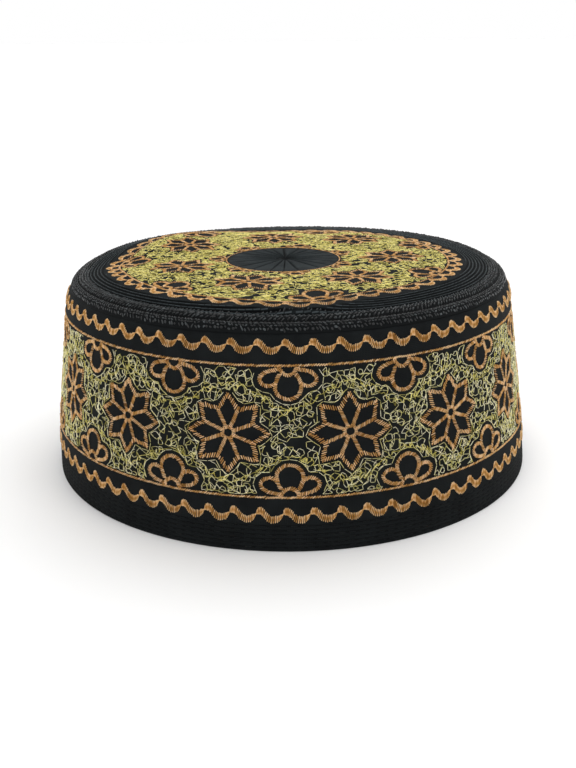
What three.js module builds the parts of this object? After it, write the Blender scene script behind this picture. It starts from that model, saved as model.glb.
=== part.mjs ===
import * as THREE from "three";
import { mergeVertices } from "three/addons/utils/BufferGeometryUtils.js";

// Round embroidered prayer cap in millimetres: +Z up, the mouth rests on Z = 0, the front faces -Y.
// Angles run round the cap from the front, positive towards +X.
const segments = 72; // facets round the cap
const bandThickness = 2.2; // embroidered side cloth with its backing
const panelThickness = 2; // embroidered lid cloth
const hemFlat = 1.2; // width of the folded hem that touches the surface
const seamGap = 0.45; // upright clearance between the welt and the cloth under it
const weldDistance = 1e-4; // meeting vertices closer than this are one

// Side band, outer face, from the hem up and over the shoulder.
const bandSection = [
  { height: 0.8, radius: 95.2 },
  { height: 10, radius: 94.5 },
  { height: 19.3, radius: 93.7 },
  { height: 40, radius: 90.7 },
  { height: 62.8, radius: 87.5 },
  { height: 67.5, radius: 86.8 },
  { height: 70.2, radius: 86 },
  { height: 71.9, radius: 84.9 },
  { height: 72.8, radius: 83.9 },
  { height: 73.3, radius: 82.9 },
];

// Lid, upper face, from its sewn edge to the centre. offCentre is the share of the field's offset.
const panelSection = [
  { height: 73.5, radius: 82.6, offCentre: 0 },
  { height: 74.8, radius: 80.6, offCentre: 0 },
  { height: 75.7, radius: 79, offCentre: 0 },
  { height: 78.1, radius: 70.4, offCentre: 1 },
  { height: 78.7, radius: 64.3, offCentre: 1 },
  { height: 79.5, radius: 48, offCentre: 1 },
  { height: 79.9, radius: 21.7, offCentre: 1 },
  { height: 79.9, radius: 12, offCentre: 1 },
  { height: 79.7, radius: 3, offCentre: 1 },
  { height: 79.6, radius: 0, offCentre: 1 },
];
const fieldOffset = { x: -2.1, y: -3.5 }; // the embroidered field sits off the lid's centre
const ribs = { count: 5, outer: 78.4, pitch: 1.56, rise: 0.3 }; // stitched rings outside the field
const pleats = { count: 24, inner: 2, outer: 21.7, depth: 0.35 }; // radial tucks of the centre

// Overcast welt: rise above the cloth it covers, from its outer edge to its inner edge.
const weltSection = [
  { radius: 85, rise: 0.5 },
  { radius: 84.5, rise: 1.2 },
  { radius: 83.8, rise: 1.5 },
  { radius: 83, rise: 1.6 },
  { radius: 82.2, rise: 1.5 },
  { radius: 81.6, rise: 1.3 },
  { radius: 80.8, rise: 1.8 },
  { radius: 79.8, rise: 1.5 },
  { radius: 79.1, rise: 0.5 },
];

// How the soft cap has settled.
const lean = [
  { height: 0, shift: 0 },
  { height: 19.3, shift: -0.5 },
  { height: 62.8, shift: -0.9 },
  { height: 76, shift: -0.7 },
  { height: 90, shift: -0.7 },
];
const crown = { from: 62.8, to: 76, radius: 80, frontRise: 0.8, rightRise: 0.2 };
const dents = [
  { angle: -88, radius: 67, depth: -1.9, arc: 11, reach: 11 },
  { angle: -122, radius: 62, depth: 1.4, arc: 17, reach: 10 },
  { angle: -136, radius: 83, depth: -0.4, arc: 24, reach: 7 },
];

const cloth = new THREE.MeshStandardMaterial({ color: 0x1b1d1f, roughness: 0.9, metalness: 0 });
const cord = new THREE.MeshStandardMaterial({ color: 0x141516, roughness: 0.65, metalness: 0 });

// Value of one column at a place along another, straight between the rows.
function lookUp(rows, along, place, column) {
  const sorted = [...rows].sort((a, b) => a[along] - b[along]);
  const next = sorted.findIndex((row) => row[along] >= place);
  if (next === -1) return sorted[sorted.length - 1][column];
  if (next === 0) return sorted[0][column];
  const [low, high] = [sorted[next - 1], sorted[next]];
  return THREE.MathUtils.mapLinear(place, low[along], high[along], low[column], high[column]);
}

// The same face one cloth thickness further in, with its last edge cut upright.
function inset(section, thickness, uprightEdge) {
  return section.map((row, i) => {
    const before = section[Math.max(i - 1, 0)];
    const after = section[Math.min(i + 1, section.length - 1)];
    const run = after.radius - before.radius;
    const climb = after.height - before.height;
    const length = Math.hypot(run, climb);
    const upright = i === uprightEdge;
    return {
      ...row,
      radius: row.radius === 0 || upright ? row.radius : row.radius - (climb / length) * thickness,
      height: row.height + (run / length) * thickness,
    };
  });
}

// Lean, tip and dents of the cloth, the same for every piece so that they stay apart.
function settle(point) {
  const lift = THREE.MathUtils.smoothstep(point.z, crown.from, crown.to);
  const angle = THREE.MathUtils.radToDeg(Math.atan2(point.x, -point.y));
  const reach = Math.hypot(point.x, point.y);
  let rise = (crown.rightRise * point.x - crown.frontRise * point.y) / crown.radius;
  for (const dent of dents) {
    const across = (THREE.MathUtils.euclideanModulo(angle - dent.angle + 180, 360) - 180) / dent.arc;
    const along = (reach - dent.radius) / dent.reach;
    rise += dent.depth * Math.exp(-(across * across + along * along) / 2);
  }
  point.x += lookUp(lean, "height", point.z, "shift");
  point.z += lift * rise;
}

// Radial tucks that are deepest half way out and end at the stitched circle.
function tuck(point) {
  const reach = Math.hypot(point.x, point.y);
  if (reach < pleats.inner || reach > pleats.outer) return;
  const share = (reach - pleats.inner) / (pleats.outer - pleats.inner);
  const wave = Math.cos(pleats.count * Math.atan2(point.x, -point.y));
  point.z -= pleats.depth * Math.sin(Math.PI * share) * Math.max(wave, 0);
}

// Closed section turned about the upright axis, then settled row by row.
function turn(name, section, material) {
  const lathe = new THREE.LatheGeometry(
    section.map((row) => new THREE.Vector2(row.radius, row.height)),
    segments,
  );
  lathe.rotateX(Math.PI / 2);
  lathe.deleteAttribute("normal");
  lathe.deleteAttribute("uv");
  const spots = lathe.getAttribute("position");
  const point = new THREE.Vector3();
  for (let i = 0; i < spots.count; i += 1) {
    const share = section[i % section.length].offCentre ?? 0;
    point.fromBufferAttribute(spots, i);
    if (share === 1) tuck(point);
    point.x += share * fieldOffset.x;
    point.y += share * fieldOffset.y;
    settle(point);
    spots.setXYZ(i, point.x, point.y, point.z);
  }
  const geometry = mergeVertices(lathe, weldDistance);
  geometry.computeVertexNormals();
  const mesh = new THREE.Mesh(geometry, material);
  mesh.name = name;
  return mesh;
}

// Wall of the cap: outer face up, inner face down, flat folded hem.
function sideBand() {
  const hemMiddle = bandSection[0].radius - bandThickness / 2;
  const foldOut = { height: 0, radius: hemMiddle + hemFlat / 2 };
  const foldIn = { height: 0, radius: hemMiddle - hemFlat / 2 };
  const inner = inset(bandSection, bandThickness, bandSection.length - 1).reverse();
  const section = [foldOut, ...bandSection, ...inner, foldIn];
  return turn("side_band", [...section, foldOut], cloth);
}

// Round lid with stitched rings near its edge; its under face is plain.
function topPanel() {
  const ringRows = [];
  for (let i = 0; i <= ribs.count * 2; i += 1) {
    const radius = ribs.outer - (i * ribs.pitch) / 2;
    ringRows.push({
      radius,
      height: lookUp(panelSection, "radius", radius, "height") + (i % 2) * ribs.rise,
      offCentre: lookUp(panelSection, "radius", radius, "offCentre"),
    });
  }
  const face = [...panelSection, ...ringRows].sort((a, b) => b.radius - a.radius);
  const under = inset(panelSection, panelThickness, 0).reverse();
  return turn("top_panel", [...under, ...face], cloth);
}

// Overcast seam that lies over the joint of wall and lid.
function edgeWelt() {
  const joint = [...panelSection, ...bandSection];
  const seat = weltSection.map(({ radius }) => ({
    radius,
    height: lookUp(joint, "radius", radius, "height") + seamGap,
  }));
  const over = weltSection.map(({ radius, rise }, i) => ({ radius, height: seat[i].height + rise }));
  return turn("edge_welt", [...over, ...seat.reverse(), over[0]], cord);
}

const cap = new THREE.Group();
cap.name = "prayer_cap";
cap.add(sideBand(), topPanel(), edgeWelt());

export default cap;
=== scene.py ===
import math

import bmesh
import bpy
import numpy as np
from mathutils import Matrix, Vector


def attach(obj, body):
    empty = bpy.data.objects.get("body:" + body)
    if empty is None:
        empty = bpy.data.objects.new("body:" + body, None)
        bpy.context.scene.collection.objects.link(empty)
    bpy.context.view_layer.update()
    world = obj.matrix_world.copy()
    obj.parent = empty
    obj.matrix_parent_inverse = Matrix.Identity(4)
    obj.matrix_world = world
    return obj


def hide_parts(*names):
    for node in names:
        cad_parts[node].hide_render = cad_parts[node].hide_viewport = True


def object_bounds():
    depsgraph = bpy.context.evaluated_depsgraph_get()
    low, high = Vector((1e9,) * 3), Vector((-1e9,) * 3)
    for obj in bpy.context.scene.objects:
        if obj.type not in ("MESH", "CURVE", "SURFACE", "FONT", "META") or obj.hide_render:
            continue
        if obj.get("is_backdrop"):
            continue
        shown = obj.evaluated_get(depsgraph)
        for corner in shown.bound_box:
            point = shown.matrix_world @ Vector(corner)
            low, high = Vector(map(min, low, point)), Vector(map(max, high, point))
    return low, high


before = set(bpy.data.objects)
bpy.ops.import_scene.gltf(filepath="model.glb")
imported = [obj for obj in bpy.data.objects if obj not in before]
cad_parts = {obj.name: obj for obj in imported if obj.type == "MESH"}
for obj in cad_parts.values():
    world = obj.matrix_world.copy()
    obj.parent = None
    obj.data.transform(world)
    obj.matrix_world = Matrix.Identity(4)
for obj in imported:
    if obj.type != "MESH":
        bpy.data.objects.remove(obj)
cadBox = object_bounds()
mm = 0.001  # sizes below are in millimetres, angles in degrees from the front

# Form of the cap, after the rows of its solids
capForm = {
    "bandRows": [  # height, radius of the wall's outer face
        (0, 95.15),
        (0.8, 95.2),
        (10, 94.5),
        (19.3, 93.7),
        (40, 90.7),
        (62.8, 87.5),
        (67.5, 86.8),
        (70.2, 86),
        (71.9, 84.9),
        (72.8, 83.9),
        (73.3, 82.9),
    ],
    "lidRows": [  # radius, height of the lid's upper face
        (0, 78.5),
        (3, 78.6),
        (12, 78.8),
        (21.7, 78.9),
        (48, 79.3),
        (64.3, 78.7),
        (70.4, 78.1),
        (79, 75.7),
        (80.6, 74.8),
        (82.6, 73.5),
    ],
    "weltRows": [  # radius, height of its seat, rise above the seat
        (79.1, 75.7, 0.2),
        (79.8, 75.3, 0.75),
        (80.8, 74.72, 1.1),
        (81.5, 74.26, 0.95),
        (82.1, 73.87, 0.6),
        (82.7, 73.5, 1.05),
        (83.3, 73.15, 1.35),
        (83.9, 72.83, 1.3),
        (84.5, 72.31, 1.0),
        (85.1, 71.7, 0.3),
    ],
    "soft": 2.5,  # how far the cloth rounds off each row
    "bandThickness": 2.2,
    "lidThickness": 2.0,
    "fieldShift": (-2.1, -3.5),  # the lid's embroidered field sits off its centre
    "fieldEdge": 70.4,
    "sewnEdge": 79.0,
    "lean": [(0, 0), (19.3, -0.5), (62.8, -0.9), (76, -0.7), (90, -0.7)],  # height, shift to +X
    "crown": {"from": 62.8, "to": 76, "radius": 80, "frontRise": 0.8, "rightRise": 0.2},
    "dents": [  # angle, radius, depth, arc, reach
        (-88, 67, -1.9, 11, 11),
        (-127, 63, 2.3, 19, 11),
        (-125, 83, 0.7, 28, 8),
        (180, 83, 0.9, 52, 8),
        (128, 83, 0.9, 24, 8),
        (-172, 62, -0.9, 16, 8),
        (0, 24, -0.5, 50, 13),
    ],
    "bulges": [  # angle, stretch of the field outwards, arc
        (6, 4.4, 9),
        (-14, 1.0, 10),
        (26, -1.6, 10),
        (-88, 2.2, 8),
        (-88, -2.6, 30),
    ],
    "stretchRings": (35, 66),  # the field stretches more and more between these rings
    "pucker": 0.1,  # unevenness of the embroidered wall
    "puckerClimb": (4, 12),  # it begins above the hem
}


def runLength(line):
    return np.concatenate([[0], np.cumsum(np.hypot(*np.diff(line, axis=0).T))])


# A soft curve through rows of two numbers, with its ends kept
def softLine(rows, soft, step=0.25):
    line = np.array(rows, float)
    run = runLength(line)
    along = np.linspace(0, run[-1], int(run[-1] / step) + 1)
    dense = np.stack([np.interp(along, run, column) for column in line.T], axis=1)
    half = max(int(soft / step), 1)
    before = 2 * dense[0] - dense[half:0:-1]
    after = 2 * dense[-1] - dense[-2 : -half - 2 : -1]
    weight = np.hanning(2 * half + 3)[1:-1]
    padded = np.concatenate([before, dense, after])
    return np.stack([np.convolve(column, weight / weight.sum(), "valid") for column in padded.T], axis=1)


def smoothShare(value, low, high):
    share = np.clip((value - low) / (high - low), 0, 1)
    return share * share * (3 - 2 * share)


def turnFrom(angle, middle):
    return (angle - middle + 180) % 360 - 180


# Lean, tip and dents of the standing cap
def settle(x, y, z):
    crown = capForm["crown"]
    angle = np.degrees(np.arctan2(x, -y))
    reach = np.hypot(x, y)
    rise = (crown["rightRise"] * x - crown["frontRise"] * y) / crown["radius"]
    for middle, radius, depth, arc, spread in capForm["dents"]:
        across = turnFrom(angle, middle) / arc
        along = (reach - radius) / spread
        rise = rise + depth * np.exp(-(across**2 + along**2) / 2)
    heights, shifts = np.array(capForm["lean"], float).T
    lifted = z + smoothShare(z, crown["from"], crown["to"]) * rise
    return np.stack([x + np.interp(z, heights, shifts), y, lifted], axis=-1)


bandLine = softLine(capForm["bandRows"], capForm["soft"])
bandRun = runLength(bandLine)
bandClimb, bandOpen = np.gradient(bandLine, bandRun, axis=0).T
lidLine = softLine(capForm["lidRows"], capForm["soft"])
lidSlope = np.gradient(lidLine[:, 1], lidLine[:, 0])
weltRadius, weltSeat, weltRise = np.array(capForm["weltRows"], float).T
weltTop = softLine(np.stack([weltRadius, weltSeat + weltRise], axis=1), 0.7, 0.1)


# A place on the wall: angle, distance up the cloth from the hem, distance off the cloth
def bandSpot(angle, climb, lift):
    height, radius, rise, opening = (
        np.interp(climb, bandRun, column) for column in (*bandLine.T, bandClimb, bandOpen)
    )
    turn = np.radians(angle)
    uneven = np.sin(11 * turn + 0.21 * climb) * np.sin(5 * turn - 0.13 * climb + 1)
    off = lift + capForm["pucker"] * uneven * smoothShare(climb, *capForm["puckerClimb"])
    radius = radius + off * rise
    return settle(radius * np.sin(turn), -radius * np.cos(turn), height - off * opening)


# How far the field's shift reaches a ring of the lid, and the ring's stretched radius
def lidReach(angle, ring):
    share = np.clip((capForm["sewnEdge"] - ring) / (capForm["sewnEdge"] - capForm["fieldEdge"]), 0, 1)
    stretch = 0
    for at, size, arc in capForm["bulges"]:
        stretch = stretch + size * np.exp(-((turnFrom(angle, at) / arc) ** 2) / 2)
    return share, ring + stretch * smoothShare(ring, *capForm["stretchRings"]) * share


def lidGround(angle, ring, inward):
    share, reach = lidReach(angle, ring)
    turn = np.radians(angle)
    shiftX, shiftY = capForm["fieldShift"]
    x = share * shiftX + (reach - inward) * np.sin(turn)
    return x, share * shiftY - (reach - inward) * np.cos(turn)


# A place on the lid: angle, ring counted from the field's centre, distance off the cloth
def lidSpot(angle, ring, lift):
    height = np.interp(ring, *lidLine.T)
    slope = np.interp(ring, lidLine[:, 0], lidSlope)
    upright = 1 / np.hypot(slope, 1)
    return settle(*lidGround(angle, ring, lift * slope * upright), height + lift * upright)


# The lid's own angle and ring at an angle and radius about the cap's middle
def lidUnder(angle, radius):
    turn = np.radians(angle)
    shiftX, shiftY = capForm["fieldShift"]
    own, ring = angle, radius
    for i in range(60):
        share, reach = lidReach(own, ring)
        x = radius * np.sin(turn) - share * shiftX
        y = radius * np.cos(turn) + share * shiftY
        own = np.degrees(np.arctan2(x, y))
        ring = ring + np.hypot(x, y) - reach
    return own, ring


def lidPlane(x, y, lift):
    return lidSpot(np.degrees(np.arctan2(x, -y)), np.hypot(x, y), lift)


# A place on the welt: angle, radius, share of its rise, distance off it
def weltSpot(angle, radius, share, lift):
    seat = np.interp(radius, weltRadius, weltSeat)
    height = seat + share * (np.interp(radius, *weltTop.T) - seat) + lift
    turn = np.radians(angle)
    return settle(radius * np.sin(turn), -radius * np.cos(turn), height)


# Finishes
def newFinish(name):
    finish = bpy.data.materials.new(name)
    finish.use_nodes = True
    return finish, finish.node_tree.nodes, finish.node_tree.links


# The cloth's colour is a random mottle between a dark and a pale tone, darkened by each piece's painted
# shade
clothLook = {
    "deep": (0.0045, 0.0055, 0.006, 1),
    "paleMottle": (0.0085, 0.0105, 0.0112, 1),
    "roughness": 0.75,
    "sheen": 0,
    "gloss": 0.08,
    "mottle": 140,
    "weavePitch": 0.55,
    "weaveDepth": 0.12,
}


def clothFinish(name, look):
    finish, nodes, links = newFinish(name)
    shader = nodes["Principled BSDF"]
    shader.inputs["Roughness"].default_value = look["roughness"]
    shader.inputs["Sheen Weight"].default_value = look["sheen"]
    shader.inputs["Sheen Roughness"].default_value = 0.5
    shader.inputs["Specular IOR Level"].default_value = look["gloss"]
    place = nodes.new("ShaderNodeTexCoord")
    mottle = nodes.new("ShaderNodeTexNoise")
    mottle.inputs["Scale"].default_value = look["mottle"]
    mottle.inputs["Detail"].default_value = 5
    links.new(place.outputs["Object"], mottle.inputs["Vector"])
    ramp = nodes.new("ShaderNodeValToRGB")
    ramp.color_ramp.elements[0].position = 0.32
    ramp.color_ramp.elements[0].color = look["deep"]
    ramp.color_ramp.elements[1].position = 0.72
    ramp.color_ramp.elements[1].color = look["paleMottle"]
    links.new(mottle.outputs["Fac"], ramp.inputs["Fac"])
    # Painted shade: the mottled colour is multiplied by the piece's shade attribute
    paintedShade = nodes.new("ShaderNodeAttribute")
    paintedShade.attribute_name = "paintedShade"
    darker = nodes.new("ShaderNodeVectorMath")
    darker.operation = "SCALE"
    links.new(ramp.outputs["Color"], darker.inputs[0])
    links.new(paintedShade.outputs["Fac"], darker.inputs["Scale"])
    links.new(darker.outputs["Vector"], shader.inputs["Base Color"])
    threads = []
    for direction in ("X", "Y"):
        wave = nodes.new("ShaderNodeTexWave")
        wave.bands_direction = direction
        wave.inputs["Scale"].default_value = math.pi / (10 * look["weavePitch"])
        wave.inputs["Distortion"].default_value = 1.2
        wave.inputs["Detail Scale"].default_value = 0.6
        links.new(place.outputs["UV"], wave.inputs["Vector"])
        threads.append(wave)
    weave = nodes.new("ShaderNodeMath")
    weave.operation = "MAXIMUM"
    for i, wave in enumerate(threads):
        links.new(wave.outputs["Fac"], weave.inputs[i])
    bump = nodes.new("ShaderNodeBump")
    bump.inputs["Strength"].default_value = 0.8
    bump.inputs["Distance"].default_value = look["weaveDepth"] * mm
    links.new(weave.outputs["Value"], bump.inputs["Height"])
    links.new(bump.outputs["Normal"], shader.inputs["Normal"])
    return finish


# Three tones per thread, picked per stitch; the palest tone is partly a painted highlight
threadLooks = {
    "tan": {
        "shades": [(0.29, 0.123, 0.02, 1), (0.58, 0.298, 0.081, 1), (0.9, 0.62, 0.345, 1)],
        "roughness": 0.45,
        "sheen": 0.01,
        "gloss": 0.18,
    },
    "yellowGreen": {
        "shades": [(0.33, 0.285, 0.04, 1), (0.74, 0.675, 0.22, 1), (1, 0.95, 0.68, 1)],
        "roughness": 0.45,
        "sheen": 0.01,
        "gloss": 0.18,
    },
    # The wall's yellow-green thread, coloured darker and yellower on the lid; the yellow is painted
    # reflected light among its dense threads. The wall's garland knots use it too
    "lidGreen": {
        "shades": [(0.18, 0.15, 0.017, 1), (0.54, 0.465, 0.082, 1), (0.98, 0.88, 0.33, 1)],
        "roughness": 0.45,
        "sheen": 0.01,
        "gloss": 0.2,
    },
    # The bright third tone paints glints on a few stitches
    "black": {
        "shades": [(0.003, 0.0035, 0.004, 1), (0.0075, 0.0091, 0.0097, 1), (0.052, 0.062, 0.065, 1)],
        "roughness": 0.3,
        "sheen": 0,
        "gloss": 0.5,
    },
    # Black thread painted lighter than the rest, as sheen along the ring tops
    "ring": {
        "shades": [(0.029, 0.0354, 0.0377, 1), (0.042, 0.0512, 0.0546, 1), (0.058, 0.0708, 0.0754, 1)],
        "roughness": 0.55,
        "sheen": 0,
        "gloss": 0.05,
    },
    "dull": {
        "shades": [(0.004, 0.005, 0.0055, 1), (0.007, 0.0085, 0.009, 1), (0.011, 0.013, 0.0135, 1)],
        "roughness": 0.7,
        "sheen": 0,
        "gloss": 0.1,
    },
}
threadTwist = {"scale": 4200, "depth": 0.06}


def threadFinish(name, look):
    finish, nodes, links = newFinish(name)
    shader = nodes["Principled BSDF"]
    shader.inputs["Roughness"].default_value = look["roughness"]
    shader.inputs["Sheen Weight"].default_value = look["sheen"]
    shader.inputs["Sheen Roughness"].default_value = 0.4
    shader.inputs["Specular IOR Level"].default_value = look["gloss"]
    shade = nodes.new("ShaderNodeAttribute")
    shade.attribute_name = "stitchShade"
    ramp = nodes.new("ShaderNodeValToRGB")
    stops = ramp.color_ramp.elements
    stops.new(0.5)
    for stop, colour in zip(stops, look["shades"]):
        stop.color = colour
    links.new(shade.outputs["Fac"], ramp.inputs["Fac"])
    links.new(ramp.outputs["Color"], shader.inputs["Base Color"])
    place = nodes.new("ShaderNodeTexCoord")
    twist = nodes.new("ShaderNodeTexNoise")
    twist.inputs["Scale"].default_value = threadTwist["scale"]
    twist.inputs["Detail"].default_value = 2
    links.new(place.outputs["Object"], twist.inputs["Vector"])
    bump = nodes.new("ShaderNodeBump")
    bump.inputs["Strength"].default_value = 0.35
    bump.inputs["Distance"].default_value = threadTwist["depth"] * mm
    links.new(twist.outputs["Fac"], bump.inputs["Height"])
    links.new(bump.outputs["Normal"], shader.inputs["Normal"])
    return finish


bandFinish = clothFinish("blackBandCloth", clothLook)
# The lid's cloth is coloured lighter than the wall's same black cloth: painted light from above
lidPaintedLightLook = {"deep": (0.016, 0.0196, 0.0209, 1), "paleMottle": (0.032, 0.039, 0.0415, 1), "gloss": 0.03}
lidFinish = clothFinish("blackLidCloth", {**clothLook, **lidPaintedLightLook})
# The welt keeps only the dark tone: painted shade in the gaps between its overcast stitches
weltFinish = clothFinish("blackWelt", {**clothLook, "paleMottle": clothLook["deep"], "weavePitch": 0.4})
tanThread = threadFinish("tanThread", threadLooks["tan"])
greenThread = threadFinish("yellowGreenThread", threadLooks["yellowGreen"])
lidGreenThread = threadFinish("lidGreenThread", threadLooks["lidGreen"])
blackThread = threadFinish("blackThread", threadLooks["black"])
ringSheenThread = threadFinish("blackRingThreadPaintedSheen", threadLooks["ring"])
dullThread = threadFinish("dullBlackThread", threadLooks["dull"])


def finishPiece(name, mesh, finish, slot):
    mesh.materials.append(finish)
    mesh.shade_smooth()
    piece = bpy.data.objects.new(name, mesh)
    bpy.context.scene.collection.objects.link(piece)
    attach(piece, "root")
    print("made", name, len(mesh.polygons), "faces")
    return piece


# Cloth turned from a profile of (along, off, radius, height) rows, then laid on its place by a function;
# another function gives its painted shade, from 0, darkest, in grooves and tucks to 1, unshaded
def spinCloth(name, profile, closed, steps, lay, paintedShadeAt, finish, slot):
    bm = bmesh.new()
    alongLayer = bm.verts.layers.float.new("along")
    offLayer = bm.verts.layers.float.new("off")
    corners = []
    for along, off, radius, height in profile:
        corner = bm.verts.new((0, -radius, height))
        corner[alongLayer] = along
        corner[offLayer] = off
        corners.append(corner)
    pairs = zip(corners, corners[1:] + corners[:1] if closed else corners[1:])
    edges = [bm.edges.new(pair) for pair in pairs]
    bmesh.ops.spin(
        bm,
        geom=corners + edges,
        cent=(0, 0, 0),
        axis=(0, 0, 1),
        dvec=(0, 0, 0),
        angle=2 * math.pi,
        steps=steps,
        use_merge=True,
    )
    bmesh.ops.remove_doubles(bm, verts=bm.verts, dist=0.001)
    bmesh.ops.recalc_face_normals(bm, faces=bm.faces)
    mesh = bpy.data.meshes.new(name)
    bm.to_mesh(mesh)
    bm.free()
    count = len(mesh.vertices)
    spots = np.zeros(count * 3, np.float32)
    mesh.vertices.foreach_get("co", spots)
    spots = spots.reshape(-1, 3).astype(float)
    rows = []
    for layer in ("along", "off"):
        values = np.zeros(count, np.float32)
        mesh.attributes[layer].data.foreach_get("value", values)
        rows.append(values.astype(float))
        mesh.attributes.remove(mesh.attributes[layer])
    angle = np.degrees(np.arctan2(spots[:, 0], -spots[:, 1]))
    mesh.vertices.foreach_set("co", (lay(angle, *rows) * mm).astype(np.float32).ravel())
    layUv(mesh, angle, rows[0], np.hypot(spots[:, 0], spots[:, 1]))
    # Painted shade, multiplied into the cloth's colour by its finish
    paintedShade = mesh.attributes.new("paintedShade", "FLOAT", "POINT")
    paintedShade.data.foreach_set("value", paintedShadeAt(angle, *rows).astype(np.float32))
    mesh.update()
    return finishPiece(name, mesh, finish, slot)


# Weave map in millimetres: round the cap and along the cloth
def layUv(mesh, angle, along, reach):
    uv = mesh.uv_layers.new(name="weave")
    corners = np.zeros(len(mesh.loops), np.int32)
    mesh.loops.foreach_get("vertex_index", corners)
    starts = np.zeros(len(mesh.polygons), np.int32)
    mesh.polygons.foreach_get("loop_start", starts)
    sizes = np.diff(np.append(starts, len(corners)))
    first = np.repeat(angle[corners[starts]], sizes)
    turned = first + turnFrom(angle[corners], first)
    spread = np.stack([np.radians(turned) * reach[corners], along[corners]], axis=1)
    uv.data.foreach_set("uv", spread.astype(np.float32).ravel())


# Side band cloth: outer face, folded hem and plain inner face
bandCloth = {
    "steps": 360,
    "hemRows": 6,
    "hemFirst": 1.5,
    "hemPitch": 1.55,
    "hemGroove": 0.16,
    "grooveWidth": 0.3,
    # painted shade along the hem's grooves
    "grooveShade": 0.65,
    "drawRadius": 90,
    "spacing": [(0.3, 10.4, 0.21), (10.5, 66, 1.4)],  # rows of the outer face: from, to, step
    "shoulder": (66, 0.5),
}


def hemRowAt(row):
    return bandCloth["hemFirst"] + row * bandCloth["hemPitch"]


def hemGrooves(climb):
    rows = (hemRowAt(row) for row in range(bandCloth["hemRows"]))
    return sum(np.exp(-(((climb - row) / bandCloth["grooveWidth"]) ** 2)) for row in rows)


# Painted shade: the cloth is darker along the hem's grooves
def bandPaintedShade(angle, climb, off):
    return 1 - bandCloth["grooveShade"] * hemGrooves(climb)


def makeBand():
    top = bandRun[-1]
    thick = capForm["bandThickness"]
    shoulder, step = bandCloth["shoulder"]
    spacing = [*bandCloth["spacing"], (shoulder, top, step)]
    climbs = np.concatenate([*(np.arange(*rows) for rows in spacing), [top]])
    outer = [(climb, -bandCloth["hemGroove"] * hemGrooves(climb)) for climb in climbs]
    inner = [(climb, -thick) for climb in np.linspace(top, 0.5, 34)]
    hem = [(0, -0.75 * thick), (0, -0.15 * thick), (0.12, -0.04 * thick)]
    profile = [(climb, off, bandCloth["drawRadius"] + off, climb) for climb, off in outer + inner + hem]
    lay = (bandSpot, bandPaintedShade)
    return spinCloth("side_band_cloth", profile, True, bandCloth["steps"], *lay, bandFinish, "band_cloth")


# Lid cloth: tucked centre, embroidered field, stitched rings, plain under face
lidCloth = {
    "steps": 480,
    "centreEdge": 21.7,
    "gather": (0.8, 3.2),  # the tucks meet off the field's centre
    "tucks": 22,
    "tuckDepth": 0.6,
    "tuckWidth": 0.32,
    # painted shade along the tucks
    "tuckShade": 0.85,
    "puff": 0.18,
    "rings": 10,
    "ringFrom": 79.2,
    "ringPitch": 1.3,
    "ringRise": 0.55,
    "ringSink": 0.35,
    # painted shade: darkest in the ring grooves, less on the ring tops
    "ringShade": (0.08, 0.45),
    "ringsOutside": 70.7,
    # painted shade on the field's cloth among the embroidery
    "fieldShade": 0.45,
    "spacing": [(0, 21.6, 0.75), (21.7, 70.6, 1.5), (70.8, 79.4, 0.12)],  # its rings: from, to, step
}


# How deep a place lies in a tuck of the centre, and how high it puffs up between two
def lidTucks(angle, ring):
    turn = np.radians(angle)
    x = ring * np.sin(turn) - lidCloth["gather"][0]
    y = -ring * np.cos(turn) - lidCloth["gather"][1]
    toward = np.degrees(np.arctan2(x, -y))
    spacing = 360 / lidCloth["tucks"]
    wander = 2.4 * np.sin(np.radians(5 * toward + 40)) + 1.5 * np.sin(np.radians(9 * toward))
    offset = turnFrom((toward + wander) % spacing, spacing / 2)
    across = (spacing / 2 - np.abs(offset)) * np.radians(1) * np.hypot(x, y)
    inside = np.sin(np.pi * np.clip(ring / lidCloth["centreEdge"], 0, 1) ** 0.7)
    tuck = np.exp(-((across / lidCloth["tuckWidth"]) ** 2)) * (ring < lidCloth["centreEdge"])
    return tuck, tuck * inside, np.cos(np.pi * offset / spacing) ** 2 * inside


# Share of a stitched ring's round, 0 in the grooves and outside the rings
def lidRings(angle, ring):
    phase = (lidCloth["ringFrom"] - np.hypot(*lidGround(angle, ring, 0))) / lidCloth["ringPitch"]
    within = (phase > 0) & (ring > lidCloth["ringsOutside"])
    bow = 2 * (phase % 1) - 1
    return within, np.sqrt(np.clip(1 - 0.96 * bow**2, 0, 1))


def lidRelief(angle, ring):
    tuck, deep, puff = lidTucks(angle, ring)
    within, ridge = lidRings(angle, ring)
    rings = np.where(within, lidCloth["ringRise"] * ridge - lidCloth["ringSink"], 0)
    return lidCloth["puff"] * puff - lidCloth["tuckDepth"] * deep + rings


# Painted shade: dark along the tucks and in the ring grooves, less on the ring tops, dimmed in the
# embroidered field
def lidPaintedShade(angle, ring, off):
    within, ridge = lidRings(angle, ring)
    groove, ridgeTop = lidCloth["ringShade"]
    embroidered = (ring > lidCloth["centreEdge"]) & (ring < lidCloth["ringsOutside"])
    field = np.where(embroidered, lidCloth["fieldShade"], 1)
    tucked = 1 - lidCloth["tuckShade"] * lidTucks(angle, ring)[0]
    return tucked * np.where(within, groove + ridgeTop * ridge**4, field)


def layLid(angle, ring, off):
    upper = off > -0.5
    return lidSpot(angle, ring, off + np.where(upper, lidRelief(angle, ring), 0))


def makeLid():
    edge = capForm["lidRows"][-1][0]
    thick = capForm["lidThickness"]
    rings = [np.arange(*rows) for rows in lidCloth["spacing"]]
    rings = np.concatenate([*rings, np.linspace(79.6, edge, 7)])
    under = [(ring, -thick) for ring in np.linspace(0, edge, 26)]
    over = [(ring, 0) for ring in rings[::-1]]
    profile = [(ring, off, ring, off) for ring, off in under + over]
    lay = (layLid, lidPaintedShade)
    return spinCloth("top_panel_cloth", profile, False, lidCloth["steps"], *lay, lidFinish, "panel_cloth")


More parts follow.
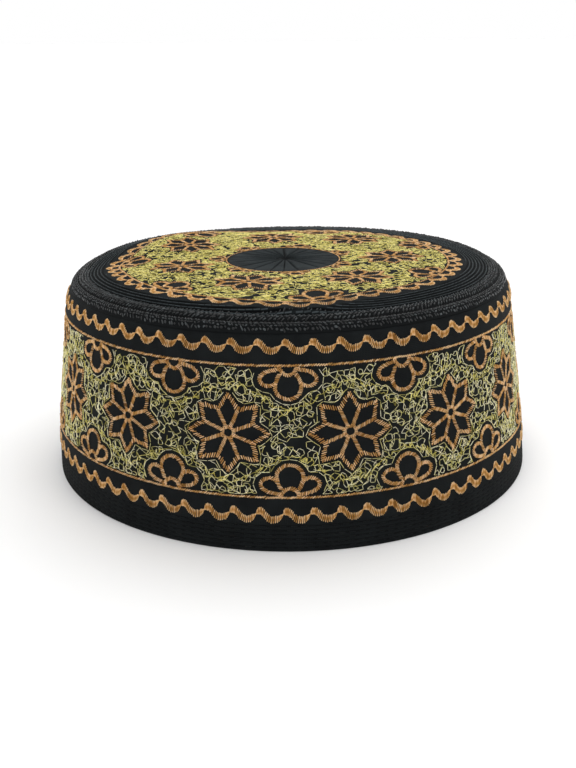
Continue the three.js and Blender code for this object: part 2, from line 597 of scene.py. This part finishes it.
# Welt over the joint of wall and lid
weltRoll = {
    "steps": 384,
    "across": 30,
    "groove": 82.1,
    # painted shade along the groove between the two rolls: its width and strength
    "grooveWidth": 0.3,
    "grooveShade": 0.7,
    "lidInside": 80,  # inside this radius the lid may lie higher than the welt
}


def layWelt(angle, radius, off):
    return weltSpot(angle, radius, 1 + off, 0)


# Painted shade along the groove between the welt's rolls
def weltPaintedShade(angle, radius, off):
    across = (radius - weltRoll["groove"]) / weltRoll["grooveWidth"]
    return 1 - weltRoll["grooveShade"] * np.exp(-(across**2))


def makeWelt():
    radii = np.linspace(weltRadius[0], weltRadius[-1], weltRoll["across"])
    over = [(radius, 0, radius, 1) for radius in radii[::-1]]
    under = [(radius, -1, radius, 0) for radius in radii]
    lay = (layWelt, weltPaintedShade)
    return spinCloth("edge_welt_roll", over + under, True, weltRoll["steps"], *lay, weltFinish, "welt_cord")


# Threads: each stitch is a small closed ridge from its tail to its head on the cloth
threadForm = {"sunk": 0.12, "shoulders": (0.09, 0.91), "shadeSpread": 0.28}


def stitchMesh(name, spot, tail, head, width, rise, rings, rng, ends):
    reach = head - tail
    length = np.maximum(np.hypot(*reach.T), 1e-6)
    side = np.stack([-reach[:, 1], reach[:, 0]], axis=1) * (width / 2 / length)[:, None]
    sunk = np.full(len(tail), -threadForm["sunk"])
    shares = np.linspace(*threadForm["shoulders"], rings)
    columns = [spot(*tail.T, sunk)]
    for share in shares:
        crown = 1 - 1.2 * (share - 0.5) ** 2
        middle = tail + reach * share
        columns.append(spot(*(middle + side * crown).T, sunk / 2))
        columns.append(spot(*middle.T, rise * crown))
        columns.append(spot(*(middle - side * crown).T, sunk / 2))
    columns.append(spot(*head.T, sunk))
    each = len(columns)
    points = np.stack(columns, axis=1).reshape(-1, 3) * mm
    last = 3 * (rings - 1)
    tris = [(2, 1, 0), (3, 2, 0), (1, 3, 0)]
    tris += [(last + a, last + b, each - 1) for a, b in ((1, 2), (2, 3), (3, 1))]
    quads = []
    for ring in range(rings - 1):
        for a, b in ((1, 2), (2, 3), (3, 1)):
            quads.append((3 * ring + a, 3 * ring + b, 3 * ring + b + 3, 3 * ring + a + 3))
    firsts = np.arange(len(tail))[:, None, None] * each
    faces = []
    for kind in (tris, quads):
        if kind:
            faces += (firsts + np.array(kind)[None]).reshape(-1, len(kind[0])).tolist()
    mesh = bpy.data.meshes.new(name)
    mesh.from_pydata(points, [], faces)
    shade = rng.normal(0.5, threadForm["shadeSpread"], (len(tail), 1))
    along = np.concatenate([[0], np.repeat(shares, 3), [1]])
    # ends paints highlights on each stitch's ends and shade on its middle
    shade = np.clip(shade + ends * (6 * (along - 0.5) ** 2 - 0.4), 0, 1)
    layer = mesh.attributes.new("stitchShade", "FLOAT", "POINT")
    layer.data.foreach_set("value", shade.astype(np.float32).ravel())
    return mesh


# Stitch lists are rows of tail x, tail y, head x, head y, width, rise; ends paints highlights on their ends
# and shade on their middles
def threadPiece(name, spot, stitches, rings, finish, slot, seed, ends=0):
    rng = np.random.default_rng(seed)
    rows = np.concatenate(stitches)
    mesh = stitchMesh(name, spot, rows[:, :2], rows[:, 2:4], rows[:, 4], rows[:, 5], rings, rng, ends)
    return finishPiece(name, mesh, finish, slot)


def stitchRows(tail, head, width, rise):
    count = len(tail)
    return np.column_stack([tail, head, np.broadcast_to(width, count), np.broadcast_to(rise, count)])


# Satin line: close threads laid across a path and leaning along it
def satinLine(path, look, rng, width=None, lean=None, flip=1):
    path = np.asarray(path, float)
    run = runLength(path)
    at = np.arange(look["pitch"] / 2, run[-1], look["pitch"])
    middle, ahead, behind = (
        np.stack([np.interp(at + step, run, column) for column in path.T], axis=1)
        for step in (0, 0.25, -0.25)
    )
    heading = ahead - behind
    heading = heading / np.maximum(np.hypot(*heading.T), 1e-6)[:, None]
    normal = np.stack([-heading[:, 1], heading[:, 0]], axis=1) * flip
    half = (width or look["width"]) / 2
    slant = look["lean"] if lean is None else lean
    near = half * (1 + rng.normal(0, look["ragged"], len(at)))[:, None]
    far = half * (1 + rng.normal(0, look["ragged"], len(at)))[:, None]
    wander = rng.normal(0, 0.04, (len(at), 1))
    tail = middle - normal * near - heading * (slant / 2 + wander)
    head = middle + normal * far + heading * (slant / 2 + wander)
    return stitchRows(tail, head, look["thread"], look["rise"] * (1 + rng.normal(0, 0.1, len(at))))


def moved(stitches, x, y, turn=0, scale=1, mirror=1):
    out = stitches.copy()
    c, s = math.cos(math.radians(turn)), math.sin(math.radians(turn))
    for i in (0, 2):
        a = stitches[:, i] * scale
        b = stitches[:, i + 1] * scale * mirror
        out[:, i] = x + a * c - b * s
        out[:, i + 1] = y + a * s + b * c
    return out


satinLook = {"pitch": 0.58, "width": 1.35, "thread": 0.52, "rise": 0.45, "lean": 0.7, "ragged": 0.12}
combLook = {"pitch": 0.76, "width": 1.4, "thread": 0.5, "rise": 0.45, "lean": 0.9, "ragged": 0.22}
lineLook = {"pitch": 0.8, "width": 0.75, "thread": 0.55, "rise": 0.34, "lean": 1.0, "ragged": 0.2}

# Eight-petalled star, its outer threads leaning to the tips like a comb
star = {
    "points": 8,
    "tip": 12.7,
    "notch": 8.4,
    "ring": 1.85,
    "ringWidth": 1.2,
    "ringLean": 0.3,
    "spokeWidth": 1.25,
    "margin": 0.6,  # the scribble keeps this much further off
}


def starCorner(radius, half):
    turn = half * math.pi / star["points"]
    return np.array([radius * math.sin(turn), radius * math.cos(turn)])


def starStitches(rng):
    stitches = []
    for point in range(star["points"]):
        tip = starCorner(star["tip"], 2 * point)
        for side in (-1, 1):
            notch = starCorner(star["notch"], 2 * point + side)
            stitches.append(satinLine([notch, tip], combLook, rng, flip=-side))
        notch = starCorner(star["notch"], 2 * point + 1)
        root = starCorner(star["ring"], 2 * point + 1)
        stitches.append(satinLine([root, notch], satinLook, rng, width=star["spokeWidth"]))
    turns = np.linspace(0, 2 * math.pi, 25)
    ring = np.stack([np.sin(turns), np.cos(turns)], axis=1) * star["ring"]
    stitches.append(satinLine(ring, satinLook, rng, width=star["ringWidth"], lean=star["ringLean"]))
    return np.concatenate(stitches)


def inStar(x, y, clear):
    step = math.pi / star["points"]
    share = abs((math.atan2(x, y) / step + 1) % 2 - 1)
    edge = star["tip"] + (star["notch"] - star["tip"]) * share
    return math.hypot(x, y) < edge + star["margin"] + clear


# Half flower that grows from a line: x along the line, y away from it
flower = {
    "heart": (2.75, 3.1),
    "petalMiddle": 6.9,
    "petal": 4.1,
    "petalRoot": [(2.5, 2.6), (3.3, 4.1)],
    "sidePetal": [
        (2.8, 1.1),
        (5.0, 1.5),
        (6.9, 2.0),
        (8.6, 3.3),
        (9.0, 4.9),
        (7.7, 6.4),
        (5.7, 6.7),
        (4.0, 5.8),
    ],
    "sideOval": {"middle": (6.1, 4.0), "half": (4.1, 3.2), "turn": 0.45},  # room of the side petal
    "margin": 0.75,
}


def flowerStitches(rng, width=None):
    turns = np.radians(np.linspace(-90, 90, 19))
    heart = np.stack([np.sin(turns), np.cos(turns)], axis=1) * flower["heart"]
    turns = np.radians(np.linspace(-115, 115, 31))
    bowl = np.stack([np.sin(turns), np.cos(turns)], axis=1) * flower["petal"] + [0, flower["petalMiddle"]]
    root = np.array(flower["petalRoot"])
    petal = np.concatenate([root * [-1, 1], bowl, root[::-1]])
    sideLine = softLine(flower["sidePetal"], 0.8)
    paths = [heart, softLine(petal, 0.8), sideLine, sideLine * [-1, 1]]
    return np.concatenate([satinLine(path, satinLook, rng, width=width) for path in paths])


def inFlower(x, y, clear):
    petal = math.hypot(x, y - flower["petalMiddle"]) < flower["petal"] + flower["margin"] + clear
    heart = math.hypot(x, y) < flower["heart"][0] + flower["margin"] + clear
    oval = flower["sideOval"]
    a, b = abs(x) - oval["middle"][0], y - oval["middle"][1]
    c, s = math.cos(oval["turn"]), math.sin(oval["turn"])
    long, short = (half + clear for half in oval["half"])
    sidePetal = math.hypot((a * c + b * s) / long, (b * c - a * s) / short) < 1
    return petal or heart or sidePetal


# S-shaped satin border, one repeat charted
waveChart = {
    "rows": [  # upper edge: share of the repeat and height, lower edge: the same
        (0, 0.58, 0, 0.32),
        (0, 1.0, 0.025, 0.3),
        (0.01, 1.55, 0.05, 0.26),
        (0.035, 2.1, 0.08, 0.22),
        (0.08, 2.55, 0.115, 0.2),
        (0.14, 2.75, 0.15, 0.15),
        (0.22, 2.55, 0.19, -0.05),
        (0.3, 2.0, 0.23, -0.45),
        (0.37, 1.3, 0.28, -1.0),
        (0.44, 0.6, 0.34, -1.65),
        (0.51, 0.12, 0.42, -2.2),
        (0.58, -0.05, 0.52, -2.55),
        (0.66, -0.08, 0.62, -2.65),
        (0.74, 0.02, 0.72, -2.55),
        (0.82, 0.2, 0.81, -2.15),
        (0.875, 0.34, 0.875, -1.6),
        (0.92, 0.44, 0.92, -0.95),
        (0.95, 0.5, 0.95, -0.3),
        (0.975, 0.56, 0.975, 0.15),
        (1, 0.58, 1, 0.32),
    ],
    "stitches": 24,
    "thread": 0.5,
    "rise": 0.42,
    "fullRise": 1.8,  # shorter stitches rise less
    "ragged": 0.035,
}


def waveStitches(repeats, length, scale, rng):
    rows = np.array(waveChart["rows"])
    count = waveChart["stitches"]
    spread = np.linspace(0, 1, len(rows))
    edges = np.stack([np.interp(np.arange(count) / count, spread, column) for column in rows.T], axis=1)
    repeat = np.repeat(np.arange(repeats), count)
    upper, lower = (
        np.stack([repeat + np.tile(share, repeats), np.tile(height, repeats)], axis=1)
        * [length / repeats, scale]
        for share, height in (edges[:, :2].T, edges[:, 2:].T)
    )
    reach = upper - lower
    longer = rng.normal(0, waveChart["ragged"], (2, len(reach), 1))
    rise = waveChart["rise"] * np.clip(np.hypot(*reach.T) / waveChart["fullRise"], 0.4, 1)
    return stitchRows(lower - reach * longer[0], upper + reach * longer[1], waveChart["thread"], rise)


# Wall layout in chart millimetres: u round the wall at mid height, v up from the stars' centres
bandChart = {
    "repeats": 15,
    "unit": 37.95,
    "starAngle": 11.85,
    "middle": 40.6,
    "upperLine": 63.1,
    "lowerLine": 19.3,
    "upperWave": {"at": 68.85, "repeats": 65, "scale": 0.92, "shift": -2.3},
    "lowerWave": {"at": 12.95, "repeats": 70, "scale": 1.1, "shift": -2.5},
    "drift": (1.1, 0.3),  # the cloth is drawn a little tighter at the sides than at the front
    "garlands": [(12.2, -4.2), (-11.9, 4.3)],  # middle height, swing towards the flowers
    "sparse": (-6, 1, 0.75),  # fewer loops between these heights
}
bandLength = bandChart["repeats"] * bandChart["unit"]


def bandPlane(u, v, lift):
    angle = u * 360 / bandLength
    wide, narrow = bandChart["drift"]
    angle = angle + wide * np.sin(np.radians(2 * angle)) + narrow * np.sin(np.radians(4 * angle))
    return bandSpot(angle, v + bandChart["middle"], lift)


def bandStar(k):
    return (bandChart["starAngle"] / 360 * bandChart["repeats"] + k) * bandChart["unit"]


def makeBandThreads():
    rng = np.random.default_rng(11)
    pieces = []
    for name, key in (("upper_wave", "upperWave"), ("lower_wave", "lowerWave")):
        wave = bandChart[key]
        rows = waveStitches(wave["repeats"], bandLength, wave["scale"], rng)
        rows = moved(rows, wave["shift"], wave["at"] - bandChart["middle"])
        pieces.append(threadPiece(name, bandPlane, [rows], 3, tanThread, "band_cloth", 21, 0.7))
    lines = []
    for at in ("upperLine", "lowerLine"):
        v = bandChart[at] - bandChart["middle"]
        lines.append(satinLine([(0, v), (bandLength, v)], lineLook, rng))
    pieces.append(threadPiece("band_lines", bandPlane, lines, 2, tanThread, "band_cloth", 22, 0.3))
    stars = [moved(starStitches(rng), bandStar(k), 0) for k in range(bandChart["repeats"])]
    pieces.append(threadPiece("band_stars", bandPlane, stars, 2, tanThread, "band_cloth", 23, 0.3))
    flowers = []
    for k in range(bandChart["repeats"]):
        u = bandStar(k + 0.5)
        for at, mirror in (("upperLine", -1), ("lowerLine", 1)):
            v = bandChart[at] - bandChart["middle"]
            flowers.append(moved(flowerStitches(rng), u, v, mirror=mirror))
    pieces.append(threadPiece("band_flowers", bandPlane, flowers, 2, tanThread, "band_cloth", 24, 0.3))
    return pieces


# Loose scribble: small many-sided loops on a loose grid, knots along a garland, rims round the motifs
scribbleLook = {
    "thread": 0.26,
    "rise": 0.2,
    "clear": 1.0,
    "lineClear": 0.7,
    "pitch": 2.65,
    "loop": (1.0, 2.4),
    "sides": (5, 8),
    "knotThread": 0.36,
    "knotPitch": 0.5,
    "knotSpread": 0.62,
    "longest": 4.2,
}


def loopStarts(rng, free, box, pitch, keep):
    starts = []
    for x in np.arange(box[0], box[2], pitch):
        for y in np.arange(box[1], box[3], pitch):
            spot = np.array([x, y]) + rng.uniform(0.2, 0.8, 2) * pitch
            if free(*spot) and rng.random() < keep(*spot):
                starts.append(spot)
    ordered = [starts.pop()]
    while starts:
        gaps = [math.hypot(*(spot - ordered[-1])) for spot in starts]
        ordered.append(starts.pop(int(np.argmin(gaps))))
    return ordered


def loopRun(rng, free, starts, loop):
    spots = []
    for start in starts:
        sides = rng.integers(*scribbleLook["sides"])
        way = rng.choice([-1, 1]) * 2 * math.pi / sides
        first = rng.uniform(0, 2 * math.pi)
        radius = rng.uniform(*loop)
        for side in range(sides + rng.integers(-1, 3)):
            heading = np.array([math.cos(first + side * way), math.sin(first + side * way)])
            reach = radius * rng.uniform(0.55, 1.35)
            tries = [start + heading * reach * share for share in (1, 0.6, 0.3, 0)]
            spots.append(next(spot for spot in tries if free(*spot)))
    return spots


def knotRun(rng, free, garland, half):
    height, swing = garland
    spots = []
    place = -half
    while place < half:
        spot = np.array([place, height + swing * math.cos(math.pi * place / half)])
        loose = spot + rng.normal(0, scribbleLook["knotSpread"], 2)
        spots.append(loose if free(*loose) else spot)
        place += scribbleLook["knotPitch"] * rng.uniform(-0.6, 2.6)
    return spots


def rimRun(rng, free, middle, turns):
    spots = []
    for turn in turns:
        heading = np.array([math.sin(turn), math.cos(turn)])
        steps = np.arange(3, 18, 0.2)
        reach = next((step for step in steps if free(*(middle + heading * step))), None)
        if reach:
            spots.append(middle + heading * (reach + rng.uniform(0, 0.3)))
    return spots


def runStitches(spots, rng, thread, rise):
    spots = np.array(spots)
    rise = rise * rng.uniform(0.7, 1.4, len(spots) - 1)
    rows = stitchRows(spots[:-1], spots[1:], thread, rise)
    length = np.hypot(rows[:, 2] - rows[:, 0], rows[:, 3] - rows[:, 1])
    return rows[(length > 0.2) & (length < scribbleLook["longest"])]


def bandFree(u, v):
    clear = scribbleLook["clear"]
    half = bandChart["unit"] / 2
    climb = v + bandChart["middle"]
    line = scribbleLook["lineClear"]
    if not bandChart["lowerLine"] + line < climb < bandChart["upperLine"] - line:
        return False
    if inStar(u - half, v, clear) or inStar(u + half, v, clear):
        return False
    fromTop = bandChart["upperLine"] - bandChart["middle"] - v
    fromLow = bandChart["middle"] - bandChart["lowerLine"] + v
    return not (inFlower(u, fromTop, clear) or inFlower(u, fromLow, clear))


def makeBandScribble():
    half = bandChart["unit"] / 2
    top = bandChart["upperLine"] - bandChart["middle"]
    low = bandChart["lowerLine"] - bandChart["middle"]
    under, over, fewer = bandChart["sparse"]
    loops, knots = [], []
    for k in range(bandChart["repeats"]):
        rng = np.random.default_rng(300 + k)
        starts = loopStarts(
            rng,
            bandFree,
            (-half, low, half, top),
            scribbleLook["pitch"],
            lambda u, v: fewer if under < v < over else 1,
        )
        runs = [loopRun(rng, bandFree, starts, scribbleLook["loop"])]
        runs.append(rimRun(rng, bandFree, np.array([-half, 0]), np.arange(0.1, math.pi, 0.19)))
        runs.append(rimRun(rng, bandFree, np.array([half, 0]), np.arange(-0.1, -math.pi, -0.19)))
        runs.append(rimRun(rng, bandFree, np.array([0, top]), np.arange(1.7, 4.6, 0.2)))
        runs.append(rimRun(rng, bandFree, np.array([0, low]), np.arange(-1.4, 1.45, 0.2)))
        for spots in runs:
            rows = runStitches(spots, rng, scribbleLook["thread"], scribbleLook["rise"])
            loops.append(moved(rows, bandStar(k + 0.5), 0))
        for garland in bandChart["garlands"]:
            spots = knotRun(rng, bandFree, garland, half)
            rows = runStitches(spots, rng, scribbleLook["knotThread"], scribbleLook["rise"])
            knots.append(moved(rows, bandStar(k + 0.5), 0))
    return [
        threadPiece("band_scribble", bandPlane, loops, 2, greenThread, "band_cloth", 25, 0.35),
        threadPiece("band_garland", bandPlane, knots, 2, lidGreenThread, "band_cloth", 26),
    ]


# Lid layout, counted from the field's centre
lidChart = {
    "repeats": 7,
    "starAngle": -14.9,
    "starRing": 45,
    "starNudge": [  # angle, ring
        (-1.7, -3.2),
        (1, -1.2),
        (1.9, -2.6),
        (3, 3),
        (-4.8, -1.1),
        (-5.5, 2.1),
        (-5, -4),
    ],
    "outerLine": 64.3,
    "innerLine": 22.2,
    "waveRing": 67.1,
    "waves": 48,
    "waveScale": 0.95,
    "lineWidths": (0.75, 0.4),
    "innerScale": 0.6,
    "innerWidth": 1.2,
    "flatter": 0.6,  # the lid's threads lie lower than the wall's
    "scribbleThread": 0.34,
    "scribbleClear": 0.3,
    "scribblePitch": 2.0,
    "scribbleLoop": (0.9, 1.8),
    "scribbleFill": {"middle": 0.81, "back": 0.15, "outward": 0.01},  # denser towards the back
}


def lidPolar(angle, ring):
    turn = math.radians(angle)
    return ring * math.sin(turn), -ring * math.cos(turn)


def flatter(stitches):
    rows = np.concatenate(stitches)
    rows[:, 5] *= lidChart["flatter"]
    return [rows]


def makeLidThreads():
    rng = np.random.default_rng(12)
    chart = lidChart
    pieces = []
    length = 2 * math.pi * chart["waveRing"]
    rows = waveStitches(chart["waves"], length, chart["waveScale"], rng)
    for i in (0, 2):
        turn = rows[:, i] / chart["waveRing"]
        ring = chart["waveRing"] - rows[:, i + 1]
        rows[:, i] = ring * np.sin(turn)
        rows[:, i + 1] = -ring * np.cos(turn)
    pieces.append(threadPiece("lid_wave", lidPlane, flatter([rows]), 3, tanThread, "panel_cloth", 31, 0.7))
    lines = []
    turns = np.linspace(0, 2 * math.pi, 181)
    for ring, width in zip((chart["outerLine"], chart["innerLine"]), chart["lineWidths"]):
        circle = np.stack([ring * np.sin(turns), -ring * np.cos(turns)], axis=1)
        lines.append(satinLine(circle, lineLook, rng, width=width))
    pieces.append(threadPiece("lid_lines", lidPlane, flatter(lines), 2, tanThread, "panel_cloth", 32))
    step = 360 / chart["repeats"]
    stars, flowers = [], []
    for k, (nudge, further) in enumerate(chart["starNudge"]):
        angle = chart["starAngle"] + k * step
        spot = lidPolar(angle + nudge, chart["starRing"] + further)
        stars.append(moved(starStitches(rng), *spot, turn=angle + nudge))
        angle += step / 2
        flowers.append(moved(flowerStitches(rng), *lidPolar(angle, chart["outerLine"]), turn=angle))
        spot = lidPolar(angle, chart["innerLine"])
        small = flowerStitches(rng, width=chart["innerWidth"])
        flowers.append(moved(small, *spot, turn=angle, scale=chart["innerScale"], mirror=-1))
    pieces.append(threadPiece("lid_stars", lidPlane, flatter(stars), 2, tanThread, "panel_cloth", 33))
    pieces.append(threadPiece("lid_flowers", lidPlane, flatter(flowers), 2, tanThread, "panel_cloth", 34))
    return pieces


# Whether a place of repeat k is clear of its stars, flowers and lines
def lidFree(k):
    chart = lidChart
    clear = chart["scribbleClear"]
    line = scribbleLook["lineClear"]
    half = math.pi / chart["repeats"]
    stars = []
    nudges = (chart["starNudge"][k], chart["starNudge"][(k + 1) % chart["repeats"]])
    for at, (nudge, further) in zip((-half, half), nudges):
        stars.append((at + math.radians(nudge), chart["starRing"] + further))

    def free(arc, out):
        ring = chart["starRing"] + out
        if not chart["innerLine"] + line < ring < chart["outerLine"] - line:
            return False
        turn = arc / chart["starRing"]
        for at, middle in stars:
            if inStar(ring * math.sin(turn - at), ring * math.cos(turn - at) - middle, clear):
                return False
        if inFlower(ring * turn, chart["outerLine"] - ring, clear):
            return False
        scale = chart["innerScale"]
        return not inFlower(ring * turn / scale, (ring - chart["innerLine"]) / scale, clear)

    return free


def makeLidScribble():
    chart = lidChart
    fill = chart["scribbleFill"]
    half = math.pi * chart["starRing"] / chart["repeats"]
    top = chart["outerLine"] - chart["starRing"]
    low = chart["innerLine"] - chart["starRing"]
    stitches = []
    for k in range(chart["repeats"]):
        rng = np.random.default_rng(500 + k)
        middle = math.radians(chart["starAngle"]) + (k + 0.5) * 2 * math.pi / chart["repeats"]
        free = lidFree(k)
        closer = fill["middle"] - fill["back"] * math.cos(middle)
        starts = loopStarts(
            rng,
            free,
            (-half, low, half, top),
            chart["scribblePitch"],
            lambda arc, out: closer + fill["outward"] * out,
        )
        spots = np.array(loopRun(rng, free, starts, chart["scribbleLoop"]))
        turn = middle + spots[:, 0] / chart["starRing"]
        ring = chart["starRing"] + spots[:, 1]
        flat = np.stack([ring * np.sin(turn), -ring * np.cos(turn)], axis=1)
        stitches.append(runStitches(flat, rng, chart["scribbleThread"], scribbleLook["rise"]))
    return threadPiece("lid_scribble", lidPlane, stitches, 2, lidGreenThread, "panel_cloth", 35, 0.3)


# Black sewing: overcast welt, stitched rings of the lid, hem rows
sewing = {
    "welt": [  # rows of short slanting stitches on the inner roll and on the outer one
        {
            "radii": (78.3, 79.3, 80.3, 81.3),
            "count": 340,
            "stitch": (1.1, 0.6),
            "width": 0.56,
            "rise": 0.32,
        },
        {
            "radii": (82.5, 83.2, 83.9, 84.6),
            "count": 420,
            "stitch": (0.95, -0.2),
            "width": 0.46,
            "rise": 0.24,
        },
    ],
    "rings": {"stitch": 2.6, "gap": 0, "width": 0.6, "rise": 0.12},
    "hem": {"stitch": 2.2, "gap": 1.0, "width": 0.45, "rise": 0.02},
}


# Round the joint, on the welt or on the lid, whichever lies higher
def weltPlane(u, inward, lift):
    radius = weltRadius[-1] - inward
    angle = np.degrees(u / weltRadius[-1])
    onWelt = weltSpot(angle, radius, 1, lift)
    onLid = lidSpot(*lidUnder(angle, np.minimum(radius, weltRoll["groove"])), lift)
    higher = np.where(radius < weltRoll["lidInside"], onLid[..., 2], 0)
    onWelt[..., 2] = np.maximum(onWelt[..., 2], higher)
    return onWelt


def makeOvercast():
    rng = np.random.default_rng(13)
    edge = weltRadius[-1]
    rows = []
    for roll in sewing["welt"]:
        count = roll["count"]
        pitch = 2 * math.pi * edge / count
        columns = np.arange(count) * pitch + rng.normal(0, 0.12, count)
        for k, radius in enumerate(roll["radii"]):
            u = columns + 0.3 * pitch * k + rng.normal(0, 0.16, count)
            along = roll["stitch"][0] * rng.uniform(0.7, 1.2, count)
            across = roll["stitch"][1] + rng.normal(0, 0.22, count)
            inward = edge - radius + rng.normal(0, 0.08, count)
            tail = np.stack([u - along / 2, inward - across / 2], axis=1)
            head = np.stack([u + along / 2, inward + across / 2], axis=1)
            width = roll["width"] * rng.uniform(0.75, 1.15, count)
            rows.append(stitchRows(tail, head, width, roll["rise"] * rng.uniform(0.6, 1.4, count)))
    return threadPiece("welt_overcast", weltPlane, rows, 3, blackThread, "welt_cord", 41)


def runningRow(rng, length, at, look):
    pitch = look["stitch"] + look["gap"]
    u = np.arange(rng.uniform(0, pitch), length, pitch)
    wander = rng.normal(0, 0.06, (2, len(u)))
    tail = np.stack([u, at + wander[0]], axis=1)
    head = np.stack([u + look["stitch"], at + wander[1]], axis=1)
    return stitchRows(tail, head, look["width"], look["rise"])


def ringUnder(u, inward):
    return lidUnder(np.degrees(u / lidCloth["ringFrom"]), lidCloth["ringFrom"] - inward)


def ringPlane(u, inward, lift):
    angle, ring = ringUnder(u, inward)
    return lidSpot(angle, ring, lift + lidRelief(angle, ring))


def makeRows():
    rng = np.random.default_rng(14)
    around = 2 * math.pi * lidCloth["ringFrom"]
    rings = []
    for k in range(lidCloth["rings"]):
        at = lidCloth["ringPitch"] * (k + 0.5)
        row = runningRow(rng, around, at, sewing["rings"])
        ring = np.minimum(ringUnder(*row[:, :2].T)[1], ringUnder(*row[:, 2:4].T)[1])
        rings.append(row[ring > lidCloth["ringsOutside"] + 0.2])
    hems = []
    for k in range(bandCloth["hemRows"]):
        at = hemRowAt(k) - bandChart["middle"]
        hems.append(runningRow(rng, bandLength, at, sewing["hem"]))
    return (
        threadPiece("ring_stitches", ringPlane, rings, 2, ringSheenThread, "panel_cloth", 42),
        threadPiece("hem_stitches", bandPlane, hems, 2, dullThread, "band_cloth", 43),
    )


side = makeBand()
lid = makeLid()
welt = makeWelt()
bandPieces = makeBandThreads() + makeBandScribble()
lidPieces = makeLidThreads() + [makeLidScribble()]
overcast = makeOvercast()
ringStitches, hemStitches = makeRows()

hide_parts("side_band")
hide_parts("top_panel")
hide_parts("edge_welt")

# Studio
studio = {
    "floorColour": (0.96, 0.96, 0.96, 1),
    "floorReach": 60,
    "front": (0.3, 0.3, 0.3, 1),  # the surroundings are dimmer on the camera's side
    "back": (1.0, 1.0, 1.0, 1),
    "fade": (0.54, 0.9),  # from the camera's side to the back
    "horizon": (0.04, 0.14),  # pale all round just above the floor
    "overhead": {"tilt": (-18, 12), "strength": 2.0, "spread": 80},
    "softboxes": [  # name, place, size, watts
        ("leftSoftbox", (-0.9, -1.3, 0.8), 0.9, 8),
        ("rightSoftbox", (1.2, -1.0, 0.8), 0.7, 4.5),
    ],
}


def makeFloor():
    bm = bmesh.new()
    bmesh.ops.create_grid(bm, x_segments=1, y_segments=1, size=studio["floorReach"])
    mesh = bpy.data.meshes.new("studio_floor")
    bm.to_mesh(mesh)
    bm.free()
    finish, nodes, links = newFinish("paleFloor")
    nodes["Principled BSDF"].inputs["Base Color"].default_value = studio["floorColour"]
    nodes["Principled BSDF"].inputs["Roughness"].default_value = 0.9
    mesh.materials.append(finish)
    floor = bpy.data.objects.new("studio_floor", mesh)
    bpy.context.scene.collection.objects.link(floor)
    floor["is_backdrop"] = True


def fadeRamp(nodes, stops, colours):
    ramp = nodes.new("ShaderNodeValToRGB")
    for stop, at, colour in zip(ramp.color_ramp.elements, stops, colours):
        stop.position = at
        stop.color = studio[colour]
    return ramp


def makeWorld():
    world = bpy.data.worlds.new("studioWorld")
    world.use_nodes = True
    nodes, links = world.node_tree.nodes, world.node_tree.links
    place = nodes.new("ShaderNodeTexCoord")
    split = nodes.new("ShaderNodeSeparateXYZ")
    half = nodes.new("ShaderNodeMapRange")
    half.inputs["From Min"].default_value = -1
    ramp = fadeRamp(nodes, studio["fade"], ("front", "back"))
    links.new(place.outputs["Generated"], split.inputs["Vector"])
    links.new(split.outputs["Y"], half.inputs["Value"])
    links.new(half.outputs["Result"], ramp.inputs["Fac"])
    horizon = fadeRamp(nodes, studio["horizon"], ("back", "front"))
    lighter = nodes.new("ShaderNodeMix")
    lighter.data_type = "RGBA"
    lighter.blend_type = "LIGHTEN"
    lighter.inputs["Factor"].default_value = 1
    links.new(split.outputs["Z"], horizon.inputs["Fac"])
    links.new(ramp.outputs["Color"], lighter.inputs["A"])
    links.new(horizon.outputs["Color"], lighter.inputs["B"])
    links.new(lighter.outputs["Result"], nodes["Background"].inputs["Color"])
    bpy.context.scene.world = world


def makeLights():
    scene = bpy.context.scene
    scene.view_settings.view_transform = "Standard"
    overhead = bpy.data.lights.new("overheadLight", "SUN")
    overhead.energy = studio["overhead"]["strength"]
    overhead.angle = math.radians(studio["overhead"]["spread"])
    lamp = bpy.data.objects.new("overheadLight", overhead)
    lamp.rotation_euler = (*(math.radians(turn) for turn in studio["overhead"]["tilt"]), 0)
    scene.collection.objects.link(lamp)
    for name, place, size, watts in studio["softboxes"]:
        light = bpy.data.lights.new(name, "AREA")
        light.size = size
        light.energy = watts
        lamp = bpy.data.objects.new(name, light)
        lamp.location = place
        lamp.rotation_euler = (-lamp.location).to_track_quat("-Z", "Y").to_euler()
        scene.collection.objects.link(lamp)


# Camera at the photograph's angle
view = {"place": (0, -0.38, 0.16045), "pitch": 19.58, "roll": -0.603, "lens": 45.55, "shiftX": -0.00466}


def makeCamera():
    lens = bpy.data.cameras.new("photoCamera")
    lens.lens = view["lens"]
    lens.sensor_width = 36
    lens.shift_x = view["shiftX"]
    lens.clip_start = 0.01
    camera = bpy.data.objects.new("photoCamera", lens)
    camera.location = view["place"]
    camera.rotation_euler = (math.radians(90 - view["pitch"]), 0, 0)
    bpy.context.scene.collection.objects.link(camera)
    camera.rotation_euler.rotate_axis("Z", math.radians(view["roll"]))
    bpy.context.scene.camera = camera


makeFloor()
makeWorld()
makeLights()
makeCamera()
print("studio ready")

boxes = {"cad": cadBox, "visual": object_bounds()}
{name: [list(corner) for corner in box] for name, box in boxes.items()}
